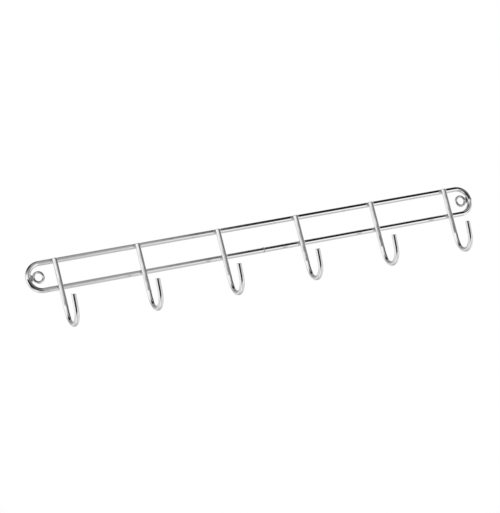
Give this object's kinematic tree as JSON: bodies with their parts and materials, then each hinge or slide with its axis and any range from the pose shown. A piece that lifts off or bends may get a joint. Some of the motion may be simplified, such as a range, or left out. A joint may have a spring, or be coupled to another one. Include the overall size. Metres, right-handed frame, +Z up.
{
  "type": "wall hook rack",
  "caption": "Chrome wire wall rack: a long round-ended wire loop with J-shaped hooks welded across its front and a screw eyelet in each end.",
  "frame": {"origin": "midway between the two screw holes, on the wall plane touched by the back of the loop", "axes": "+X along the rack to the viewer's right, +Z up, +Y into the wall, so the hooks open towards -Y"},
  "size_m": [0.4014, 0.0337, 0.0589],
  "materials": {
    "loop_chrome": "bright chrome plating",
    "hook_chrome": "bright chrome plating",
    "eyelet_chrome": "bright chrome plating",
    "weld_chrome": "chrome plating over a weld bead, slightly rough"
  },
  "bodies": {
    "root": {"frame_loop": "loop_chrome", "loop_seam_weld": "weld_chrome", "hook_1": "hook_chrome", "hook_1_upper_weld": "weld_chrome", "hook_1_lower_weld": "weld_chrome", "hook_2": "hook_chrome", "hook_2_upper_weld": "weld_chrome", "hook_2_lower_weld": "weld_chrome", "hook_3": "hook_chrome", "hook_3_upper_weld": "weld_chrome", "hook_3_lower_weld": "weld_chrome", "hook_4": "hook_chrome", "hook_4_upper_weld": "weld_chrome", "hook_4_lower_weld": "weld_chrome", "hook_5": "hook_chrome", "hook_5_upper_weld": "weld_chrome", "hook_5_lower_weld": "weld_chrome", "hook_6": "hook_chrome", "hook_6_upper_weld": "weld_chrome", "hook_6_lower_weld": "weld_chrome", "eyelet_left": "eyelet_chrome", "eyelet_left_weld": "weld_chrome", "eyelet_right": "eyelet_chrome", "eyelet_right_weld": "weld_chrome"}
  },
  "joints": []
}
